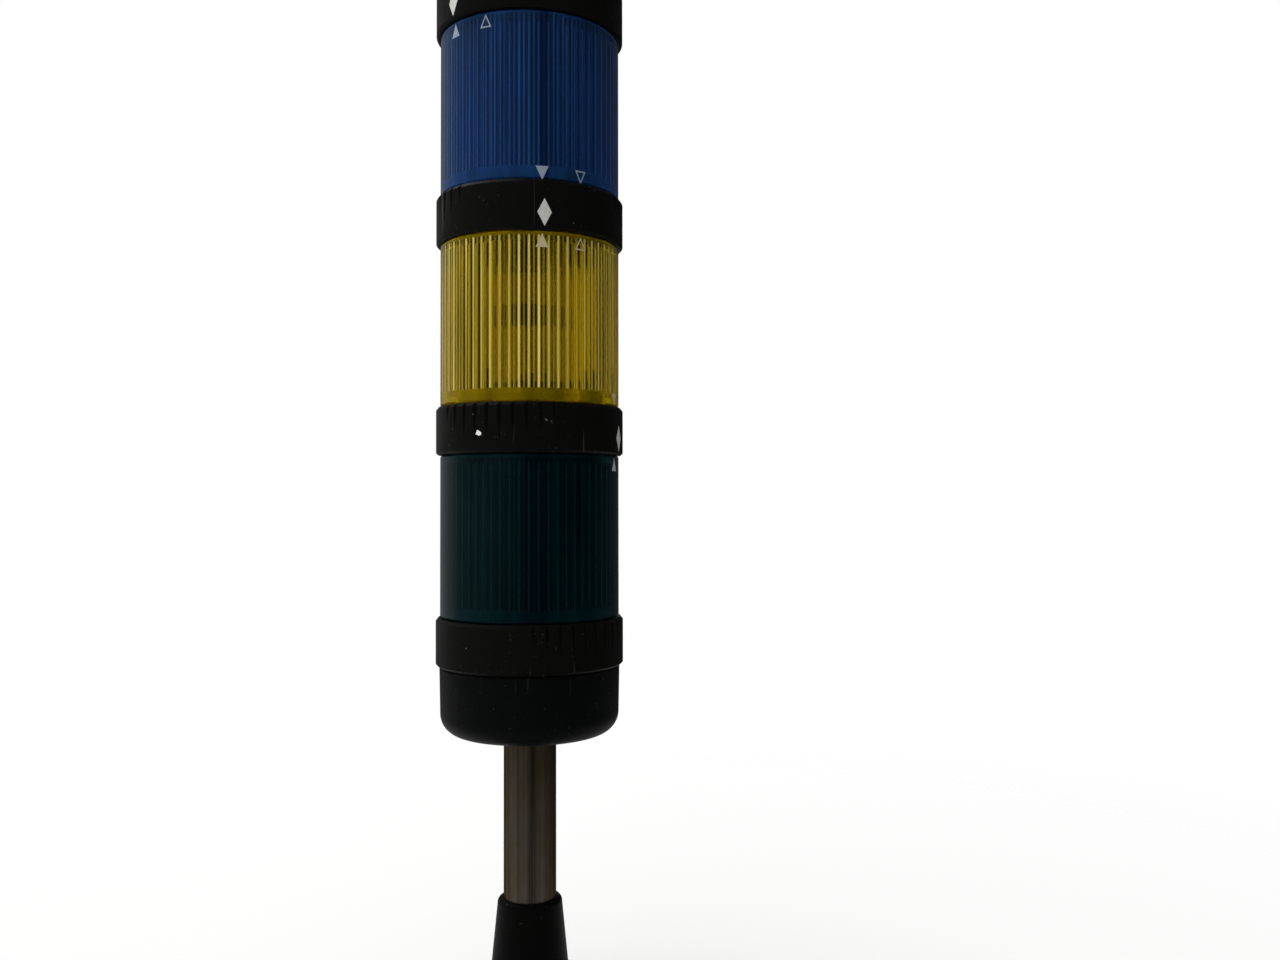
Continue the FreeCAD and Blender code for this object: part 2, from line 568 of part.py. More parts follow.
def foot():
    """Moulded foot: a round flange with a tapered collar that takes the tube."""
    cable_r = TUBE_BORE_R + CABLE_HOLE_MORE
    body = revolved([(cable_r, GASKET_THICK), (FLANGE_R, GASKET_THICK), (FLANGE_R, FLANGE_TOP_Z),
                     (COLLAR_BASE_R, FLANGE_TOP_Z), (COLLAR_TOP_R, COLLAR_TOP_Z), (TUBE_R, COLLAR_TOP_Z),
                     (TUBE_R, SOCKET_FLOOR_Z), (cable_r, SOCKET_FLOOR_Z)])
    body = body.makeFillet(FLANGE_EDGE, ring_edges(body, FLANGE_R, FLANGE_TOP_Z))
    body = body.makeFillet(COLLAR_FILLET, ring_edges(body, COLLAR_BASE_R, FLANGE_TOP_Z))
    edge = min(COLLAR_EDGE, 0.9 * (COLLAR_TOP_R - TUBE_R))
    body = body.makeFillet(edge, ring_edges(body, COLLAR_TOP_R, COLLAR_TOP_Z))
    hole = Part.makeCylinder(BOLT_HOLE_R, FLANGE_TOP_Z + 2, Vector(BOLT_CIRCLE_R, 0, -1))
    face = Part.makeCylinder(SPOT_FACE_R, SPOT_FACE_DEPTH + 1,
                             Vector(BOLT_CIRCLE_R, 0, FLANGE_TOP_Z - SPOT_FACE_DEPTH))
    bore = Part.makeCylinder(SET_SCREW_R, COLLAR_BASE_R, Vector(0, 0, SET_SCREW_Z), Vector(1, 0, 0))
    cuts = around(hole, BOLT_COUNT, BOLT_FIRST_ANGLE) + around(face, BOLT_COUNT, BOLT_FIRST_ANGLE)
    cuts.append(turned(bore, SET_SCREW_ANGLE))
    return body.cut(Part.makeCompound(cuts)).removeSplitter()


def foot_gasket():
    """Flat rubber gasket under the flange."""
    sheet = sleeve(FLANGE_R - GASKET_INSET, TUBE_BORE_R + GASKET_HOLE_MORE, 0, GASKET_THICK)
    hole = Part.makeCylinder(BOLT_HOLE_R, GASKET_THICK + 2, Vector(BOLT_CIRCLE_R, 0, -1))
    return sheet.cut(Part.makeCompound(around(hole, BOLT_COUNT, BOLT_FIRST_ANGLE)))


def collar_radius(height):
    """Outer radius of the foot's tapered collar at a height."""
    share = (height - FLANGE_TOP_Z) / (COLLAR_TOP_Z - FLANGE_TOP_Z)
    return COLLAR_BASE_R + (COLLAR_TOP_R - COLLAR_BASE_R) * share


def foot_set_screw():
    """Socket set screw that clamps the tube in the collar."""
    end = collar_radius(SET_SCREW_Z) - SET_SCREW_INSET
    screw = Part.makeCylinder(SET_SCREW_R, end - TUBE_R, Vector(TUBE_R, 0, SET_SCREW_Z), Vector(1, 0, 0))
    key = hexagon(HEX_KEY_WIDTH, 0, HEX_KEY_DEPTH + 1)
    key.rotate(Vector(0, 0, 0), Vector(0, 1, 0), 90)
    key.translate(Vector(end - HEX_KEY_DEPTH, 0, SET_SCREW_Z))
    # the inner end is hollowed to sit on the tube's round wall
    screw = screw.cut(key).cut(disc(TUBE_R, SET_SCREW_Z - SET_SCREW_R - 1, SET_SCREW_Z + SET_SCREW_R + 1))
    return turned(screw, SET_SCREW_ANGLE)


# ---------------------------------------------------------------- top cap
def top_cap():
    """Plain crowned cap that closes the top ring."""
    low = ring_z(LEVELS)
    wall_top = low + RING_HEIGHT + CAP_RISE
    outer = [(r, low + z) for r, z in lower_neck_points()]
    crown_r = (LENS_R ** 2 + CAP_CROWN ** 2) / (2 * CAP_CROWN)
    wall = revolved(outer + [(LENS_R, wall_top + CAP_CROWN), (0, wall_top + CAP_CROWN),
                             (0, low + SEAT_RISE)])
    dome = Part.makeSphere(crown_r, Vector(0, 0, wall_top + CAP_CROWN - crown_r),
                           Vector(0, 0, 1), -90, 90, 360)
    cap = wall.common(dome)
    cap = cap.makeFillet(CAP_EDGE, ring_edges(cap, LENS_R, wall_top))
    hollow = disc(NECK_INNER_R, low + SEAT_RISE - 1, wall_top - CAP_WALL)
    return cap.cut(hollow).removeSplitter()


# ---------------------------------------------------------------- all nodes
save(foot(), "foot")
save(foot_gasket(), "foot_gasket")
save(foot_set_screw(), "foot_set_screw")
save(tube(), "tube")
save(tube_washer(), "tube_washer")
save(tube_nut(), "tube_nut")
save(base_housing(), "base_housing")
save(terminal_block(), "terminal_block")
save(terminal_contacts(), "terminal_contacts")
save(terminal_screws(), "terminal_screws")

one_ring = lock_ring()
for level in range(LEVELS + 1):
    save(raised(turned(one_ring, mark_angle(level)), ring_z(level)), "lock_ring_%d" % (level + 1))
    save(seal(level), "seal_%d" % (level + 1))

for level, name in enumerate(LENS_NAMES):
    save(lens(level), "%s_lens" % name)
    save(carrier(level), "%s_carrier" % name)
    save(contacts(level), "%s_contacts" % name)
    save(lamp_holder(level), "%s_lamp_holder" % name)
    save(lamp_cap(level), "%s_lamp_cap" % name)
    save(lamp_collar(level), "%s_lamp_collar" % name)
    save(lamp_window(level), "%s_lamp_window" % name)
    save(lamp_lid(level), "%s_lamp_lid" % name)

save(top_cap(), "top_cap")
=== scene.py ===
"""Looks of the stack light: materials, printed index marks, small wear, floor, light, camera."""
import bpy
import bmesh
import json
import math
import random
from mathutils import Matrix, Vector


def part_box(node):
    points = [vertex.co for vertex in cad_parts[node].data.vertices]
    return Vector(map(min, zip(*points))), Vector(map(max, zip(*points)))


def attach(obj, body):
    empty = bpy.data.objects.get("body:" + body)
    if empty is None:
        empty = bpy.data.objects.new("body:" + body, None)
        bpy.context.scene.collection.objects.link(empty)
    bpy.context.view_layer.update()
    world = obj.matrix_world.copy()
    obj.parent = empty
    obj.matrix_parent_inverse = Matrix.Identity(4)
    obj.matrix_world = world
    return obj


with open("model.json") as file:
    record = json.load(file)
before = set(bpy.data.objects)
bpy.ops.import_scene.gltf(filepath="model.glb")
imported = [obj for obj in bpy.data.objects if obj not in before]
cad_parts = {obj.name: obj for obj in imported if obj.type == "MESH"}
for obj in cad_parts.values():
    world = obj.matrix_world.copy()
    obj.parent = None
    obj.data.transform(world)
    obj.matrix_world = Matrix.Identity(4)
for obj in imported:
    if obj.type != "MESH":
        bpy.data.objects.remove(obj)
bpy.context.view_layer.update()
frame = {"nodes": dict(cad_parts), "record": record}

MM = 0.001


# ---------------------------------------------------------------- sizes read from the frame
def low_z(node):
    """Lowest height of a CAD node, in metres."""
    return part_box(node)[0].z


def high_z(node):
    """Highest height of a CAD node, in metres."""
    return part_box(node)[1].z


def outer_r(node):
    """Radius of a round CAD node on the tower's axis."""
    low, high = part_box(node)
    return max(high.x - low.x, high.y - low.y) / 2


RINGS = ["lock_ring_%d" % (i + 1) for i in range(4)]
COLOURS = ["green", "yellow", "blue"]
LENS_R = outer_r("green_lens")
RING_R = outer_r("lock_ring_1")
FIRST_MARK = 43.75            # angle of the lowest ring's diamond, from +X
LEVEL_TURN = -60.0            # from one level to the next
FREE_TURN = 25.0              # from the filled to the hollow triangle
FLUTES = 60                   # inside each lens
PLAIN_BAND = 3.8 * MM         # smooth stretch of a lens over the ring below
PLAIN_RIM = 1.3 * MM          # and under the ring above


def mark_angle(level):
    """Angle of the index mark at a level, 0 at the bottom."""
    return FIRST_MARK + LEVEL_TURN * level


# ---------------------------------------------------------------- node helpers
def rgb(colour, share=1.0):
    """A colour times a share, with full cover."""
    return (*(part * share for part in colour), 1.0)


class Nodes:
    """Short calls to build the node tree of a material or a world."""

    def __init__(self, owner, output="OutputMaterial", space="Object"):
        owner.use_nodes = True
        self.owner = owner
        self.tree = owner.node_tree
        self.tree.nodes.clear()
        self.out = self.add(output)
        self.coords = self.add("TexCoord").outputs[space]

    def add(self, kind, inputs=None, **settings):
        """New node. Inputs are given by name or number, as a value or as the socket to link."""
        node = self.tree.nodes.new("ShaderNode" + kind)
        for key, value in settings.items():
            setattr(node, key, value)
        for key, value in (inputs or {}).items():
            self.feed(node.inputs[key], value)
        return node

    def feed(self, socket, value):
        """Link an output to a socket, or write a constant on it."""
        if isinstance(value, bpy.types.NodeSocket):
            self.tree.links.new(value, socket)
        else:
            socket.default_value = value

    def scaled(self, scale):
        """Object coordinates times a scale for each axis."""
        return self.add("Mapping", {"Vector": self.coords, "Scale": scale}).outputs[0]

    def noise(self, scale, detail=3.0, rough=0.5, vector=None):
        """Noise from 0 to 1, with features of about 1 / scale metres."""
        return self.add("TexNoise", {"Vector": vector or self.coords, "Scale": scale,
                                     "Detail": detail, "Roughness": rough}).outputs["Fac"]

    def streaks(self, scale, detail=3.0, rough=0.6):
        """Noise drawn out by a scale for each axis."""
        return self.noise(1.0, detail, rough, self.scaled(scale))

    def ramp(self, value, low, high, start=0.0, end=1.0):
        """Straight ramp from start at low to end at high, flat outside."""
        return self.add("MapRange", {"Value": value, "From Min": low, "From Max": high,
                                     "To Min": start, "To Max": end}, clamp=True).outputs[0]

    def math(self, operation, a, b=0.0):
        """One step of arithmetic."""
        return self.add("Math", {0: a, 1: b}, operation=operation).outputs[0]

    def mix(self, factor, a, b):
        """Colour between a and b."""
        node = self.add("Mix", data_type="RGBA")
        sockets = {socket.name: socket for socket in node.inputs if socket.enabled}
        for key, value in (("Factor", factor), ("A", a), ("B", b)):
            self.feed(sockets[key], value)
        return [socket for socket in node.outputs if socket.enabled][0]

    def scattered(self, marks, low, high, where, where_low, where_high):
        """The peaks of one noise, kept only where another noise is high."""
        return self.math("MULTIPLY", self.ramp(marks, low, high),
                         self.ramp(where, where_low, where_high))

    def height_and_angle(self):
        """Height in metres, and angle about the tower's axis in degrees from +X."""
        x, y, z = self.add("SeparateXYZ", {0: self.coords}).outputs
        return z, self.math("MULTIPLY", self.math("ARCTAN2", y, x), math.degrees(1.0))

    def banded(self, base, angle, bands, core, colour):
        """Base with upright bands of another colour. Each is (angle, half width, strength),
        at full strength within its core, a share of the half width."""
        for middle, half_width, strength in bands:
            away = self.math("ABSOLUTE", self.math("SUBTRACT", angle, middle))
            share = self.ramp(away, half_width * core, half_width, strength, 0.0)
            base = self.mix(share, base, colour)
        return base

    def bump(self, height, strength, distance):
        """Surface normal raised by a height."""
        return self.add("Bump", {"Height": height, "Strength": strength,
                                 "Distance": distance}).outputs[0]

    def principled(self, **inputs):
        """Principled shader, with its inputs named by underscores."""
        named = {key.replace("_", " "): value for key, value in inputs.items()}
        return self.add("BsdfPrincipled", named)

    def surface(self, shader):
        """Finish the tree with its shader, and give the material or world."""
        self.feed(self.out.inputs["Surface"], shader.outputs[0])
        return self.owner


# ---------------------------------------------------------------- materials
BLACK = (0.0048, 0.0049, 0.0043)
HOUSING_BLACK = (0.0030, 0.0035, 0.0034)
FOOT_BLACK = (0.0030, 0.0032, 0.0028)
DUST = (0.16, 0.155, 0.14)
SCRATCH = (0.14, 0.14, 0.13)
NICK = (0.20, 0.195, 0.18)
TUBE_GREY = (0.145, 0.130, 0.108)
TUBE_BROWN = (0.125, 0.094, 0.054)
# painted dark reflections on the tube, upright bands at fixed angles: angle, half width in
# degrees, strength
TUBE_PAINTED_REFLECTIONS = [(-81.0, 12.0, 0.75), (-68.0, 16.0, 0.35), (-30.0, 30.0, 0.5),
                (-112.0, 5.0, 0.3), (60.0, 16.0, 0.4), (150.0, 9.0, 0.5)]
MAIN_HIGHLIGHT = 0.18              # half width of a flute's painted highlight, in flutes
BETWEEN_HIGHLIGHT = 0.13           # and of the fainter painted highlight between two flutes
# Of each lens: colour of its walls (tint) and of its painted highlights (line), strength of the
# main and the fainter painted highlights, share of the light that passes where no highlight is
# (clearness), roughness (frost), colour of its shadow, bands of painted shade where dark inner
# parts show through (angle, half width in degrees, strength), and sheen of its dust
LENSES = {
    "green": dict(tint=(0.001, 0.024, 0.030), line=(0.004, 0.07, 0.08), highlight_shares=(0.09, 0.16),
                  clearness=0.80, frost=0.14, shadow_tint=(0.05, 0.25, 0.26),
                  painted_shade_bands=[(-81.0, 12.0, 0.7), (-52.0, 4.0, 0.3)], dust=0.0),
    "yellow": dict(tint=(0.43, 0.32, 0.001), line=(1.0, 0.86, 0.24), highlight_shares=(1.0, 0.45),
                   clearness=0.975, frost=0.03, shadow_tint=(0.8, 0.7, 0.05),
                   painted_shade_bands=[(-75.5, 3.0, 0.15)], dust=0.0),
    "blue": dict(tint=(0.010, 0.061, 0.20), line=(0.06, 0.19, 0.48), highlight_shares=(0.22, 0.36),
                 clearness=0.80, frost=0.15, shadow_tint=(0.08, 0.22, 0.5),
                 painted_shade_bands=[(-76.0, 3.6, 0.9)], dust=0.010),
}


def black_plastic(name, colour, roughness, wear):
    """Satin moulded plastic with fine texture, dust, hairline scratches and small pale nicks."""
    n = Nodes(bpy.data.materials.new(name))
    grain = n.noise(2600.0, 2.0)
    cloud = n.noise(60.0, 4.0)
    dust = n.scattered(n.noise(900.0, 2.0, 0.6), 0.66, 0.74, cloud, 0.45, 0.65)
    hairlines = n.streaks((900.0, 900.0, 45.0), 1.0, 0.5)
    scratch = n.scattered(hairlines, 0.70, 0.74, n.noise(35.0), 0.5, 0.62)
    nick = n.scattered(n.noise(900.0, 1.0), 0.77, 0.80, n.noise(25.0), 0.52, 0.64)
    base = n.mix(n.math("MULTIPLY", dust, 0.30), rgb(colour), rgb(DUST))
    base = n.mix(n.math("MULTIPLY", scratch, 0.25 * wear), base, rgb(SCRATCH))
    base = n.mix(n.math("MULTIPLY", nick, wear), base, rgb(NICK))
    rough = n.ramp(cloud, 0.3, 0.7, roughness - 0.06, roughness + 0.08)
    rough = n.math("ADD", rough, n.math("MULTIPLY", dust, 0.2))
    height = n.math("ADD", n.math("MULTIPLY", grain, 0.25), n.math("MULTIPLY", scratch, -0.6))
    return n.surface(n.principled(Base_Color=base, Roughness=rough, Specular_IOR_Level=0.09,
                                  Specular_Tint=rgb((0.35, 0.35, 0.35)),
                                  Normal=n.bump(height, 0.25, 0.04 * MM)))


def rubber(name, colour):
    """Matt rubber with a fine mottle."""
    n = Nodes(bpy.data.materials.new(name))
    mottle = n.noise(700.0, 4.0)
    base = n.mix(n.ramp(mottle, 0.3, 0.7), rgb(colour), rgb(colour, 2.2))
    return n.surface(n.principled(Base_Color=base, Roughness=0.75, Specular_IOR_Level=0.3,
                                  Normal=n.bump(mottle, 0.3, 0.05 * MM)))


def brushed_steel(name, grey, brown):
    """Drawn tube: fine grain and broader bands along its length, brownish stains, and painted dark
    reflections in upright bands at fixed angles.
    """
    n = Nodes(bpy.data.materials.new(name))
    grain = n.streaks((1400.0, 1400.0, 9.0))
    bands = n.streaks((330.0, 330.0, 3.0), 2.0)
    stain = n.streaks((120.0, 120.0, 45.0), 4.0)
    base = n.mix(n.ramp(stain, 0.42, 0.62), rgb(grey), rgb(brown))
    base = n.mix(n.ramp(bands, 0.38, 0.62, 0.5, 0.0), base, rgb(brown, 0.35))
    angle = n.height_and_angle()[1]
    # painted dark reflections: darker upright bands at fixed angles round the tube
    base = n.banded(base, angle, TUBE_PAINTED_REFLECTIONS, 0.3, rgb(brown, 0.12))
    base = n.mix(n.ramp(grain, 0.5, 0.8, 0.0, 0.25), base, rgb(grey, 1.9))
    return n.surface(n.principled(Base_Color=base, Metallic=1.0,
                                  Roughness=n.ramp(grain, 0.25, 0.75, 0.26, 0.42),
                                  Specular_Tint=rgb((0.35, 0.34, 0.32)),
                                  Normal=n.bump(grain, 0.25, 0.03 * MM)))


def plain_metal(name, colour, roughness):
    """Plated metal with faint tarnish."""
    n = Nodes(bpy.data.materials.new(name))
    tarnish = n.noise(260.0, 4.0)
    base = n.mix(n.ramp(tarnish, 0.4, 0.75, 0.0, 0.5), rgb(colour), rgb(colour, 0.6))
    rough = n.ramp(tarnish, 0.3, 0.7, roughness - 0.05, roughness + 0.1)
    return n.surface(n.principled(Base_Color=base, Metallic=1.0, Roughness=rough))


def dull_plastic(name, colour, roughness=0.5):
    """Plain inner plastic with a slight flow mottle."""
    n = Nodes(bpy.data.materials.new(name))
    mottle = n.noise(300.0, 3.0)
    base = n.mix(n.ramp(mottle, 0.3, 0.7, 0.0, 0.5), rgb(colour), rgb(colour, 1.5))
    return n.surface(n.principled(Base_Color=base, Roughness=roughness,
                                  Normal=n.bump(mottle, 0.15, 0.04 * MM)))


def clear_plastic(name, tint):
    """Clear lamp window with a faint inner frost."""
    n = Nodes(bpy.data.materials.new(name))
    rough = n.ramp(n.noise(900.0, 3.0), 0.3, 0.7, 0.15, 0.3)
    return n.surface(n.principled(Base_Color=rgb(tint), Roughness=rough, IOR=1.49,
                                  Transmission_Weight=0.6))


def print_paint(name, colour):
    """Printed or bare spot of a plain colour, a little worn and uneven."""
    n = Nodes(bpy.data.materials.new(name))
    worn = n.noise(1500.0, 3.0, 0.7)
    base = n.mix(n.ramp(worn, 0.45, 0.8, 0.0, 0.55), rgb(colour), rgb(colour, 0.45))
    return n.surface(n.principled(Base_Color=base, Roughness=0.55, Specular_IOR_Level=0.3))


def painted_flute_highlights(n, height, angle, level, shares):
    """Where the wall of a lens is fluted, from 0 to 1, and the fine upright highlights painted
    there, one along each flute and a fainter one between two flutes."""
    # counted from the lowest mark, and two turns on, so that the count stays above zero
    count = n.math("ADD", n.math("MULTIPLY", angle, FLUTES / 360.0),
                   FLUTES * (2 - FIRST_MARK / 360.0))

    def every_flute(shift, half_width):
        place = n.math("FRACT", n.math("ADD", count, shift))
        away = n.math("ABSOLUTE", n.math("SUBTRACT", place, 0.5))
        return n.ramp(away, half_width * 0.4, half_width, 1.0, 0.0)

    low = high_z(RINGS[level]) + PLAIN_BAND
    high = low_z(RINGS[level + 1]) - PLAIN_RIM
    soft = 0.2 * MM
    fluted = n.math("MULTIPLY", n.ramp(height, low - soft, low + soft),
                    n.ramp(height, high - soft, high + soft, 1.0, 0.0))
    lines = n.math("MAXIMUM", n.math("MULTIPLY", every_flute(0.0, MAIN_HIGHLIGHT), shares[0]),
                   n.math("MULTIPLY", every_flute(0.5, BETWEEN_HIGHLIGHT), shares[1]))
    even = n.ramp(n.streaks((300.0, 300.0, 12.0), 2.0, 0.5), 0.3, 0.7, 0.35, 1.0)
    return fluted, n.math("MULTIPLY", n.math("MULTIPLY", lines, fluted), even)


def lens_plastic(name, level, tint, line, highlight_shares, clearness, frost, shadow_tint,
                 painted_shade_bands, dust):
    """Coloured, slightly milky plastic, with fine upright highlights painted along its flutes and
    upright bands of painted shade where dark inner parts show through. Lamps shine through it."""
    n = Nodes(bpy.data.materials.new(name))
    height, angle = n.height_and_angle()
    fluted, lines = painted_flute_highlights(n, height, angle, level, highlight_shares)
    cloud = n.streaks((150.0, 150.0, 22.0))
    base = n.mix(n.ramp(cloud, 0.35, 0.65), rgb(tint, 0.65), rgb(tint, 1.15))
    # painted shade: darker upright bands at fixed angles where dark inner parts show through the
    # wall
    seen_through_shade = rgb((tint[0] * 0.1, tint[1] * 0.35, tint[2] * 0.55))
    base = n.banded(base, angle, painted_shade_bands, 0.5, seen_through_shade)
    # painted highlights: fine upright lines of light along the flutes, lighter and less clear
    # there
    base = n.mix(lines, base, rgb(line))
    clear = n.ramp(fluted, 0.0, 1.0, clearness - 0.30, clearness)
    clear = n.math("SUBTRACT", clear, n.math("MULTIPLY", lines, 0.8))
    rough = n.ramp(n.noise(110.0, 4.0), 0.35, 0.7, frost, frost + 0.08)
    plastic = n.principled(Base_Color=base, Roughness=rough, IOR=1.38, Transmission_Weight=clear,
                           Specular_IOR_Level=0.3, Specular_Tint=rgb((0.3, 0.3, 0.3)),
                           Sheen_Weight=dust, Sheen_Roughness=0.8, Sheen_Tint=rgb((0.6, 0.8, 1.0)))
    passed = n.add("BsdfTransparent", {"Color": rgb(shadow_tint)})
    shadow = n.add("LightPath").outputs["Is Shadow Ray"]
    return n.surface(n.add("MixShader", {0: shadow, 1: plastic.outputs[0], 2: passed.outputs[0]}))


def slot_materials():
    """A material for each material slot of the record."""
    recipes = {
        "ring_plastic": (black_plastic, BLACK, 0.40, 1.0),
        "housing_plastic": (black_plastic, HOUSING_BLACK, 0.42, 0.3),
        "cap_plastic": (black_plastic, BLACK, 0.42, 0.3),
        "foot_plastic": (black_plastic, FOOT_BLACK, 0.45, 0.3),
        "gasket_rubber": (rubber, (0.012, 0.012, 0.012)),
        "seal_rubber": (rubber, (0.018, 0.018, 0.018)),
        "tube_steel": (brushed_steel, TUBE_GREY, TUBE_BROWN),
        "plated_steel": (plain_metal, (0.55, 0.54, 0.50), 0.32),
        "contact_metal": (plain_metal, (0.72, 0.66, 0.50), 0.28),
        "terminal_plastic": (dull_plastic, (0.30, 0.30, 0.28)),
        "carrier_plastic": (dull_plastic, (0.018, 0.018, 0.017)),
        "holder_plastic": (dull_plastic, (0.03, 0.03, 0.03)),
        "lamp_metal": (plain_metal, (0.72, 0.70, 0.66), 0.25),
        "lamp_plastic": (dull_plastic, (0.03, 0.03, 0.03)),
        "lamp_clear": (clear_plastic, (0.9, 0.9, 0.86)),
    }
    materials = {name: make(name, *looks) for name, (make, *looks) in recipes.items()}
    for level, colour in enumerate(COLOURS):
        name = "%s_lens" % colour
        materials[name] = lens_plastic(name, level, **LENSES[colour])
    return materials


def dress_nodes():
    """Give every CAD node the material of its slot."""
    materials = slot_materials()
    for part in frame["record"]["subparts"]:
        mesh = frame["nodes"][part["node"]].data
        mesh.materials.clear()
        mesh.materials.append(materials[part["material_slot"]])


# ---------------------------------------------------------------- pieces
def made_object(name, bm, material):
    """Object in the scene from a finished bmesh, with one material."""
    mesh = bpy.data.meshes.new(name)
    bm.to_mesh(mesh)
    bm.free()
    mesh.materials.append(material)
    obj = bpy.data.objects.new(name, mesh)
    bpy.context.scene.collection.objects.link(obj)
    return obj


PRINT_LIFT = 0.05 * MM        # of a printed shape over its wall
EDGE_STEPS = 10               # points along each side of its outline


def patch(name, outlines, radius, angle, height, material, body):
    """Thin printed shape wrapped on a round wall, its middle at an angle and a height.
    Outlines are its outer and inner loops, as (across, up) points in millimetres."""
    bm = bmesh.new()
    loops = []
    for points in outlines:
        corners = []
        for i, (x0, y0) in enumerate(points):
            x1, y1 = points[(i + 1) % len(points)]
            for step in range(EDGE_STEPS):
                share = step / EDGE_STEPS
                corners.append(bm.verts.new((x0 + (x1 - x0) * share, y0 + (y1 - y0) * share, 0)))
        loops.append(corners)
    for corners in loops:
        for i, corner in enumerate(corners):
            bm.edges.new((corner, corners[(i + 1) % len(corners)]))
    bmesh.ops.triangle_fill(bm, use_beauty=True, edges=bm.edges[:])
    reach = radius + PRINT_LIFT
    for vert in bm.verts:
        turn = math.radians(angle) + vert.co.x * MM / radius
        vert.co = (reach * math.cos(turn), reach * math.sin(turn), vert.co.y * MM + height)
    bmesh.ops.recalc_face_normals(bm, faces=bm.faces[:])
    for face in bm.faces:
        middle = face.calc_center_median()
        if face.normal.dot(Vector((middle.x, middle.y, 0))) < 0:
            face.normal_flip()
    obj = made_object(name, bm, material)
    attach(obj, body)


def prism(name, radius, low, high, sides, material):
    """Upright prism on the tower's axis, smooth round its sides."""
    bm = bmesh.new()
    bmesh.ops.create_cone(bm, cap_ends=True, segments=sides, radius1=radius, radius2=radius,
                          depth=high - low)
    bmesh.ops.translate(bm, verts=bm.verts, vec=(0, 0, (low + high) / 2))
    for face in bm.faces:
        face.smooth = len(face.verts) == 4
    obj = made_object(name, bm, material)
    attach(obj, "tower")


def block(name, low, high, material, angle):
    """Box given by its corners beside the +X axis, turned about the tower's axis."""
    bm = bmesh.new()
    bmesh.ops.create_cube(bm, size=1.0)
    turn = math.radians(angle)
    for vert in bm.verts:
        x, y, z = (low[i] + (high[i] - low[i]) * (vert.co[i] + 0.5) for i in range(3))
        vert.co = (x * math.cos(turn) - y * math.sin(turn),
                   x * math.sin(turn) + y * math.cos(turn), z)
    obj = made_object(name, bm, material)
    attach(obj, "tower")


# ---------------------------------------------------------------- printed marks
DIAMOND = [(0, -3.75), (1.95, 0), (0, 3.75), (-1.95, 0)]    # in millimetres
FILLED_TRIANGLE = (3.5, 3.8)  # width and height in millimetres
HOLLOW_TRIANGLE = (3.4, 3.6)
HOLLOW_LINE = 0.34            # width of its line in millimetres
DIAMOND_UP = 4.5 * MM         # the diamond's middle over the ring's underside
TRIANGLE_UNDER = 2.75 * MM    # middle of the triangles from the ring's underside
TRIANGLE_OVER = 1.75 * MM     # and from its top
TRIANGLE_LAG = -1.1           # angle of the filled triangle from the diamond
RING_PRINT = (0.62, 0.62, 0.59)
# the print on the lenses lets a little of their colour through
LENS_PRINTS = {"green": (0.48, 0.50, 0.47), "yellow": (0.56, 0.47, 0.29),
               "blue": (0.28, 0.34, 0.42)}


def triangle(size, way):
    """Corners of a triangle that points up (way 1) or down (way -1)."""
    width, height = size
    return [(-width / 2, -way * height / 2), (width / 2, -way * height / 2), (0, way * height / 2)]


def shrunk(points, line):
    """The same triangle with every side moved inwards by a line's width."""
    cx = sum(p[0] for p in points) / 3
    cy = sum(p[1] for p in points) / 3
    a, b, c = (Vector(p) for p in points)
    sides = [(b - a).length, (c - b).length, (a - c).length]
    area = abs((b - a).cross(c - a)) / 2
    keep = 1 - line / (2 * area / sum(sides))
    return [(cx + (x - cx) * keep, cy + (y - cy) * keep) for x, y in points]


def printed_marks():
    """A diamond on each ring, and beside it on each lens a filled triangle where the ring is
    locked and a hollow one where it is free."""
    ring_paint = print_paint("mark_white", RING_PRINT)
    lens_paints = [print_paint("%s_mark" % colour, LENS_PRINTS[colour]) for colour in COLOURS]
    for level, ring in enumerate(RINGS):
        locked = mark_angle(level) + TRIANGLE_LAG
        patch("%s_diamond" % ring, [DIAMOND], RING_R, mark_angle(level),
              low_z(ring) + DIAMOND_UP, ring_paint, "ring_%d" % (level + 1))
        sides = [("under", 1, low_z(ring) - TRIANGLE_UNDER, level - 1),
                 ("over", -1, high_z(ring) + TRIANGLE_OVER, level)]
        for side, way, height, lens in sides:
            if lens not in range(len(COLOURS)):
                continue
            hollow = triangle(HOLLOW_TRIANGLE, way)
            patch("%s_%s_locked" % (ring, side), [triangle(FILLED_TRIANGLE, way)], LENS_R,
                  locked, height, lens_paints[lens], "tower")
            patch("%s_%s_free" % (ring, side), [hollow, shrunk(hollow, HOLLOW_LINE)], LENS_R,
                  locked + FREE_TURN, height, lens_paints[lens], "tower")


# ---------------------------------------------------------------- wear and mould lines
CHIP_PAINTS = {"chip_white": (0.95, 0.95, 0.94), "speck_grey": (0.10, 0.10, 0.09)}
# level, angle from the ring's diamond, height over its underside and size in millimetres, paint
CHIPS = [
    (1, -99.3, 5.2, 1.7, "chip_white"), (1, -103.0, 10.3, 0.45, "speck_grey"),
    (1, -59.0, 8.6, 0.7, "speck_grey"), (1, -56.0, 8.3, 0.5, "speck_grey"),
    (1, -120.0, 6.5, 0.4, "speck_grey"), (0, -168.0, 7.0, 0.5, "speck_grey"),
    (2, -36.0, 8.0, 0.35, "speck_grey"), (3, 63.0, 5.0, 0.5, "speck_grey"),
]
MOULD_PAINT = (0.013, 0.013, 0.012)
MOULD_LAG = -5.9              # angle of a ring's mould line from its diamond
MOULD_HALF_WIDTH = 0.09       # in millimetres
RING_EDGES = 2.2              # of a ring's height that the mould line leaves out, in millimetres


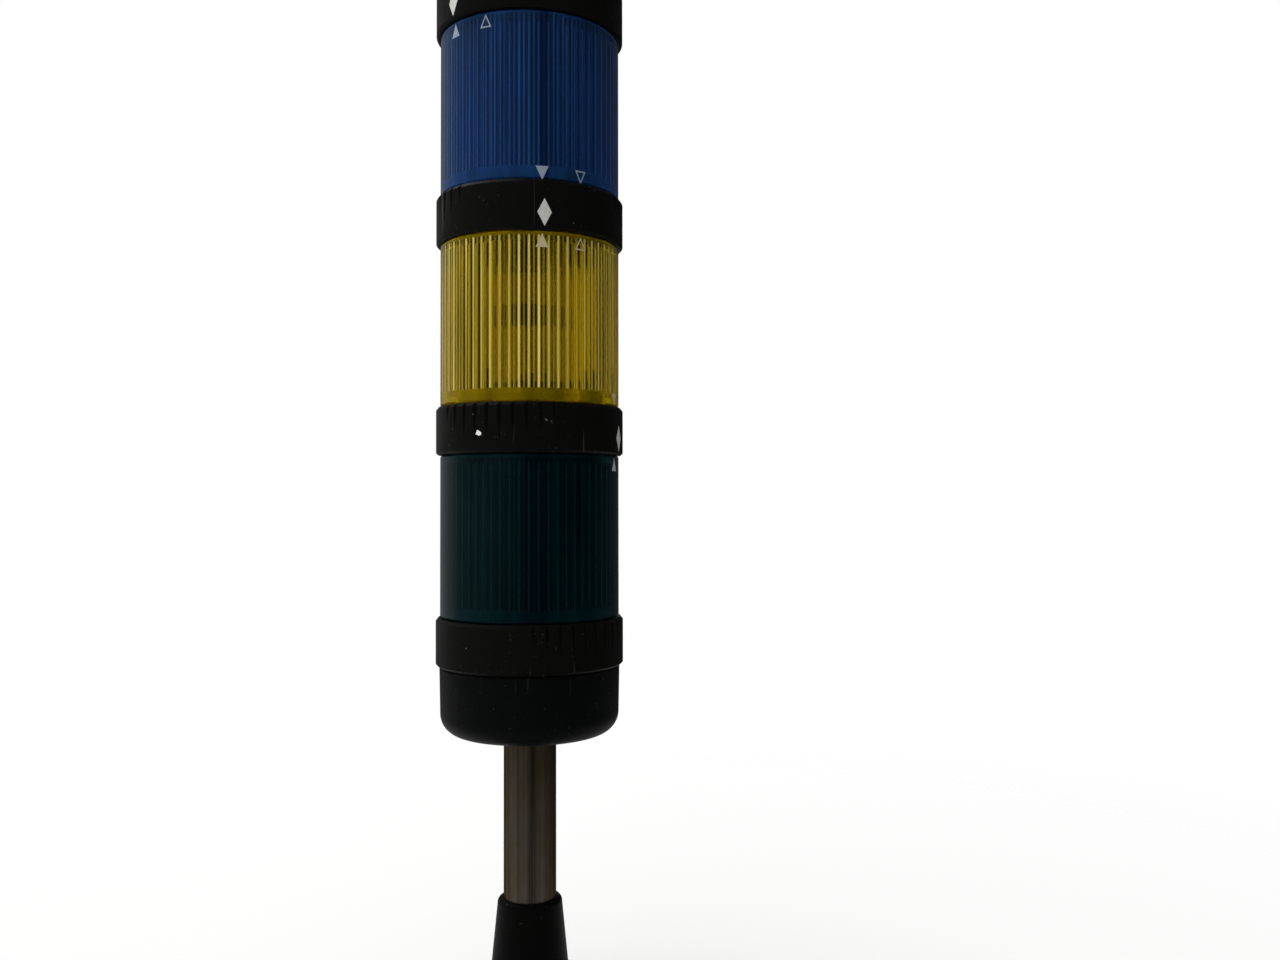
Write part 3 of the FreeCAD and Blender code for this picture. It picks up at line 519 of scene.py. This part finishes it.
def ragged(size, seed, points=9):
    """Irregular closed outline of about a given size, in millimetres."""
    chance = random.Random(seed)
    outline = []
    for i in range(points):
        reach = size / 2 * chance.uniform(0.35, 1.25)
        turn = math.tau * (i + chance.uniform(-0.25, 0.25)) / points
        outline.append((reach * math.cos(turn), reach * math.sin(turn)))
    return outline


def chips():
    """Chips and specks of the rings."""
    paints = {name: print_paint(name, colour) for name, colour in CHIP_PAINTS.items()}
    for number, (level, lag, up, size, paint) in enumerate(CHIPS):
        patch("chip_%d" % number, [ragged(size, number)], RING_R, mark_angle(level) + lag,
              low_z(RINGS[level]) + up * MM, paints[paint], "ring_%d" % (level + 1))


def mould_lines():
    """Fine upright line beside each ring's diamond, where its mould closed."""
    paint = print_paint("mould_edge", MOULD_PAINT)
    for level, ring in enumerate(RINGS):
        half = ((high_z(ring) - low_z(ring)) / MM - RING_EDGES) / 2
        strip = [(-MOULD_HALF_WIDTH, -half), (MOULD_HALF_WIDTH, -half),
                 (MOULD_HALF_WIDTH, half), (-MOULD_HALF_WIDTH, half)]
        patch("%s_mould_line" % ring, [strip], RING_R, mark_angle(level) + MOULD_LAG,
              (low_z(ring) + high_z(ring)) / 2, paint, "ring_%d" % (level + 1))


# ---------------------------------------------------------------- inside the lamps
CORE_R = 4.6 * MM             # to the corners of the core
CORE_SIDES = 8
CORE_GAP = 0.2 * MM           # over and under it
LED_ROWS = 3
LED_FIRST = 1.6               # height of the lowest row over the window's edge, in millimetres
LED_PITCH = 2.9               # from row to row, in millimetres
LED_DEPTH = (4.2 * MM, 4.7 * MM)    # its back and its face, from the axis
LED_HALF_WIDTH = 0.9 * MM
LED_HALF_HEIGHT = 0.8 * MM


def lamp_cores():
    """In each lamp's window an eight-sided core, with a small light block on each flat in
    each row."""
    core = dull_plastic("lamp_core", (0.55, 0.54, 0.50), 0.4)
    led = dull_plastic("led_yellow", (0.75, 0.62, 0.12), 0.35)
    for colour in COLOURS:
        window = "%s_lamp_window" % colour
        low, high = low_z(window), high_z(window)
        prism("%s_lamp_core" % colour, CORE_R, low + CORE_GAP, high - CORE_GAP, CORE_SIDES, core)
        for row in range(LED_ROWS):
            up = low + (LED_FIRST + LED_PITCH * row) * MM
            for side in range(CORE_SIDES):
                block("%s_led_%d_%d" % (colour, row, side),
                      (LED_DEPTH[0], -LED_HALF_WIDTH, up - LED_HALF_HEIGHT),
                      (LED_DEPTH[1], LED_HALF_WIDTH, up + LED_HALF_HEIGHT),
                      led, 360.0 / CORE_SIDES * (side + 0.5))


# ---------------------------------------------------------------- floor, light, camera
FLOOR_R = 0.8
FLOOR_FADE = (0.07, 0.45)     # distances where the floor starts to fade and is gone
FLOOR_SEEN = (0.9, 0.9, 0.895)
FLOOR_LIT = (0.25, 0.25, 0.25)    # its colour for the light that it throws back
FLOOR_GLOSS = 0.45            # share of the seen colour that glossy things show
LIT_SIDES = (0.35, 1.25)      # light from the studio's right and left
SEEN_SIDES = (0.012, 0.15)    # how bright these sides look in glossy things
SEEN_BEHIND = (0.04, 0.28)    # and the studio's far corners, right and left
MAIN_LIGHT = (-0.94, -0.15, 0.30)    # direction that the light comes from
LEFT, BEHIND = (-1, 0, 0), (0, 1, 0)
CAMERA_AT = (31.65, -330.2, 151.0)    # in millimetres
CAMERA_TILT = (90.95, 0.08, 0.0)      # in degrees
FOCAL_LENGTH = 32.25


def stage_floor():
    """Pale floor that keeps the tower's shadow and runs out into the surroundings."""
    n = Nodes(bpy.data.materials.new("floor_white"))
    flat = n.scaled((1.0, 1.0, 0.0))
    distance = n.add("VectorMath", {0: flat}, operation="LENGTH").outputs["Value"]
    path = n.add("LightPath").outputs
    seen = n.math("MAXIMUM", path["Is Camera Ray"], path["Is Transmission Ray"])
    seen = n.math("MAXIMUM", seen, n.math("MULTIPLY", path["Is Glossy Ray"], FLOOR_GLOSS))
    pale = n.add("BsdfDiffuse", {"Color": n.mix(seen, rgb(FLOOR_LIT), rgb(FLOOR_SEEN))})
    gone = n.add("BsdfTransparent")
    material = n.surface(n.add("MixShader", {0: n.ramp(distance, *FLOOR_FADE),
                                             1: pale.outputs[0], 2: gone.outputs[0]}))
    bm = bmesh.new()
    bmesh.ops.create_circle(bm, cap_ends=True, segments=96, radius=FLOOR_R)
    floor = made_object("floor", bm, material)


def stage_world():
    """White background. Light comes mostly from the left, and glossy things show dim sides,
    brighter far corners and a small white spot straight behind the tower."""
    world = bpy.data.worlds.new("studio")
    bpy.context.scene.world = world
    n = Nodes(world, "OutputWorld", "Generated")

    def facing(direction, start, full):
        near = n.add("VectorMath", {0: n.coords, 1: direction}, operation="DOT_PRODUCT")
        return n.add("MapRange", {"Value": near.outputs["Value"], "From Min": start,
                                  "From Max": full}, interpolation_type="SMOOTHSTEP").outputs[0]

    def between(share, low, high):
        return n.ramp(share, 0.0, 1.0, low, high)

    def larger(a, b):
        return n.math("MAXIMUM", a, b)

    path = n.add("LightPath").outputs
    lit = between(facing(MAIN_LIGHT, -0.4, 0.9), *LIT_SIDES)
    side = facing(LEFT, -0.2, 0.9)
    corners = n.math("MULTIPLY", facing(BEHIND, 0.05, 0.30), between(side, *SEEN_BEHIND))
    gloss = larger(larger(between(side, *SEEN_SIDES), corners), facing(BEHIND, 0.985, 0.998))
    gloss = larger(gloss, path["Is Transmission Ray"])
    mirrored = larger(path["Is Glossy Ray"], path["Is Transmission Ray"])
    level = larger(between(mirrored, lit, gloss), path["Is Camera Ray"])
    n.surface(n.add("Background", {"Color": rgb((1, 1, 1)), "Strength": level}))


def soft_lamp(name, place, target, size, watts):
    """Square area lamp turned towards a point."""
    data = bpy.data.lights.new(name, "AREA")
    data.shape = "RECTANGLE"
    data.size = data.size_y = size
    data.energy = watts
    lamp = bpy.data.objects.new(name, data)
    bpy.context.scene.collection.objects.link(lamp)
    lamp.location = place
    lamp.rotation_euler = (Vector(target) - Vector(place)).to_track_quat("-Z", "Y").to_euler()


def camera():
    """View of the photograph: a little under mid height, the tower left of the middle."""
    data = bpy.data.cameras.new("camera")
    data.sensor_width = 36.0
    data.lens = FOCAL_LENGTH
    data.clip_start = 0.01
    cam = bpy.data.objects.new("camera", data)
    bpy.context.scene.collection.objects.link(cam)
    cam.location = [along * MM for along in CAMERA_AT]
    cam.rotation_euler = [math.radians(turn) for turn in CAMERA_TILT]
    bpy.context.scene.camera = cam


dress_nodes()
printed_marks()
chips()
mould_lines()
lamp_cores()
stage_floor()
stage_world()
soft_lamp("top", place=(-0.2, 0.3, 1.1), target=(0, 0, 0.17), size=0.8, watts=5.0)
camera()
bpy.context.scene.view_settings.view_transform = "Standard"
